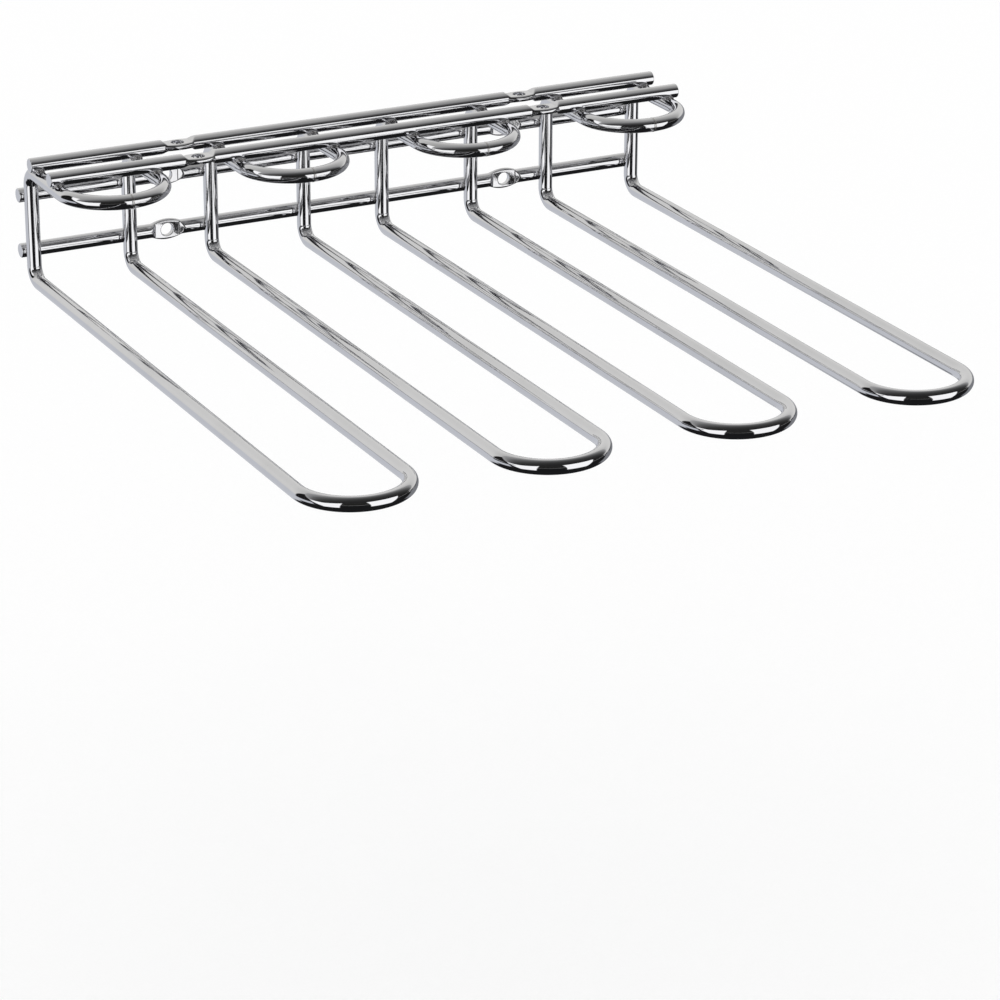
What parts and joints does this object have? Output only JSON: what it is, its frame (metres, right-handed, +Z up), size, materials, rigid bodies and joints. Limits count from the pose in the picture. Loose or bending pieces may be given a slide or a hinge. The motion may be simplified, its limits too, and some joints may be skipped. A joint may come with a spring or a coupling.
{
  "type": "wine glass rack",
  "caption": "Chrome wire stemware rack: closed finger loops welded to straight rails, screwed to a wall or under a shelf; glasses hang by their feet between the fingers.",
  "frame": {"origin": "middle of the four wall screw holes, on the wall side of the pressed tabs", "axes": "+X along the rails, +Y into the wall, +Z up; the fingers reach out along -Y"},
  "size_m": [0.291, 0.2974, 0.0584],
  "materials": {
    "plated_wire": "bright chrome plate on drawn steel wire",
    "plated_weld": "bright chrome plate over slightly rough weld metal"
  },
  "bodies": {
    "root": {"finger_loop_1": "plated_wire", "finger_loop_2": "plated_wire", "finger_loop_3": "plated_wire", "finger_loop_4": "plated_wire", "top_rail_rear": "plated_wire", "top_rail_front": "plated_wire", "back_rail_upper": "plated_wire", "back_rail_lower": "plated_wire", "weld_top_rail_rear_1": "plated_weld", "weld_top_rail_rear_2": "plated_weld", "weld_top_rail_rear_3": "plated_weld", "weld_top_rail_rear_4": "plated_weld", "weld_top_rail_front_1": "plated_weld", "weld_top_rail_front_2": "plated_weld", "weld_top_rail_front_3": "plated_weld", "weld_top_rail_front_4": "plated_weld", "weld_back_rail_upper_1": "plated_weld", "weld_back_rail_upper_2": "plated_weld", "weld_back_rail_upper_3": "plated_weld", "weld_back_rail_upper_4": "plated_weld", "weld_back_rail_lower_1": "plated_weld", "weld_back_rail_lower_2": "plated_weld", "weld_back_rail_lower_3": "plated_weld", "weld_back_rail_lower_4": "plated_weld", "butt_seam_1": "plated_weld", "butt_seam_2": "plated_weld", "butt_seam_3": "plated_weld", "butt_seam_4": "plated_weld"}
  },
  "joints": []
}
